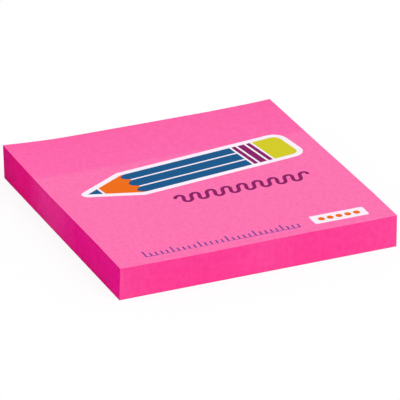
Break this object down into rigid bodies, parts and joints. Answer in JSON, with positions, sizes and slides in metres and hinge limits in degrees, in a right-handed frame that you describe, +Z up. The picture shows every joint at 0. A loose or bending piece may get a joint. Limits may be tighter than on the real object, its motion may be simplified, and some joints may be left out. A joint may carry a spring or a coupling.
{
  "type": "sticky note pad",
  "caption": "Square pad of repositionable paper notes, glued to each other along one edge, on a release-coated backing sheet.",
  "frame": {"origin": "middle of the underside of the backing sheet", "axes": "+Z up through the notes, +Y to the glued edge, +X to the right when a note is read with its glued edge at the top"},
  "size_m": [0.076, 0.076, 0.0086],
  "materials": {
    "note_paper": "matt neon pink writing paper, sharp cut edges",
    "backing_paper": "smooth off-white release-coated paper"
  },
  "bodies": {
    "root": {"note_stack": "note_paper", "backing_sheet": "backing_paper"}
  },
  "joints": []
}
